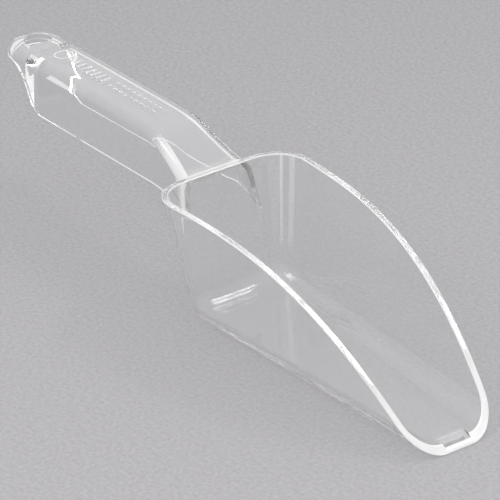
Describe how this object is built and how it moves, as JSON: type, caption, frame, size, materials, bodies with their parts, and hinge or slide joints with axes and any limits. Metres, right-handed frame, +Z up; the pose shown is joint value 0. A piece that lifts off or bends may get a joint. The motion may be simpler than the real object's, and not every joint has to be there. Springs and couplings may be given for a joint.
{
  "type": "ice scoop",
  "caption": "Clear one-piece ice scoop: drafted flat-floored bowl with a swept rim and a hollow handle ending in a hanging tab.",
  "frame": {"origin": "centre of the overall bounding box in plan, on the surface that the bowl's flat floor rests on", "axes": "+X from the handle to the pouring lip, +Y across the scoop, +Z up; the scoop is mirror-symmetric about the XZ plane"},
  "size_m": [0.284, 0.0654, 0.0612],
  "materials": {
    "clear_polycarbonate": "clear, gloss-moulded"
  },
  "bodies": {
    "root": {"bowl": "clear_polycarbonate", "handle": "clear_polycarbonate", "hanging_tab": "clear_polycarbonate"}
  },
  "joints": []
}
